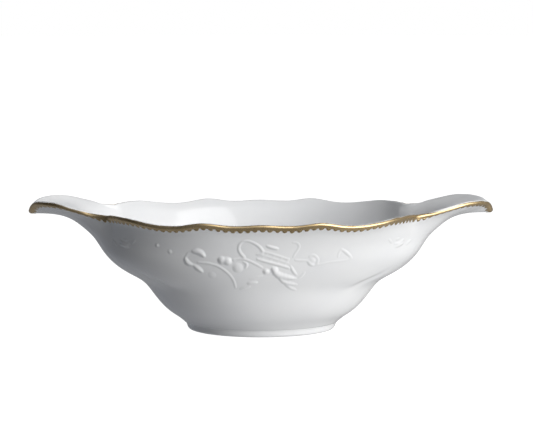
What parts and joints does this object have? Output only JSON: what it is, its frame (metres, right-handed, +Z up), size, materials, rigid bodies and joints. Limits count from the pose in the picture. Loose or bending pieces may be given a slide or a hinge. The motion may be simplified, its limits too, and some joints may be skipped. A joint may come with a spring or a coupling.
{
  "type": "porcelain serving bowl",
  "caption": "Low oval glazed serving bowl with two lug handles, a wavy gilded rim with a toothed border, raised scroll and leaf ornament and a foot ring.",
  "frame": {"origin": "centre of the foot ring's resting face", "axes": "+X runs to the right handle, +Z up, -Y is the front of the bowl"},
  "size_m": [0.3322, 0.1978, 0.093],
  "materials": {
    "body_porcelain": "hard white feldspar glaze, high gloss",
    "foot_porcelain": "white glaze, wiped off the resting edge",
    "ornament_porcelain": "low relief under the same white glaze",
    "gilding": "burnished overglaze gold"
  },
  "bodies": {
    "root": {"bowl_body": "body_porcelain", "foot_ring": "foot_porcelain", "front_cartouche": "ornament_porcelain", "front_left_spray": "ornament_porcelain", "front_right_spray": "ornament_porcelain", "front_lower_leaves": "ornament_porcelain", "back_cartouche": "ornament_porcelain", "back_left_spray": "ornament_porcelain", "back_right_spray": "ornament_porcelain", "back_lower_leaves": "ornament_porcelain", "left_handle_sprigs": "ornament_porcelain", "right_handle_sprigs": "ornament_porcelain", "rim_gilding_band": "gilding", "rim_gilding_teeth": "gilding"}
  },
  "joints": []
}
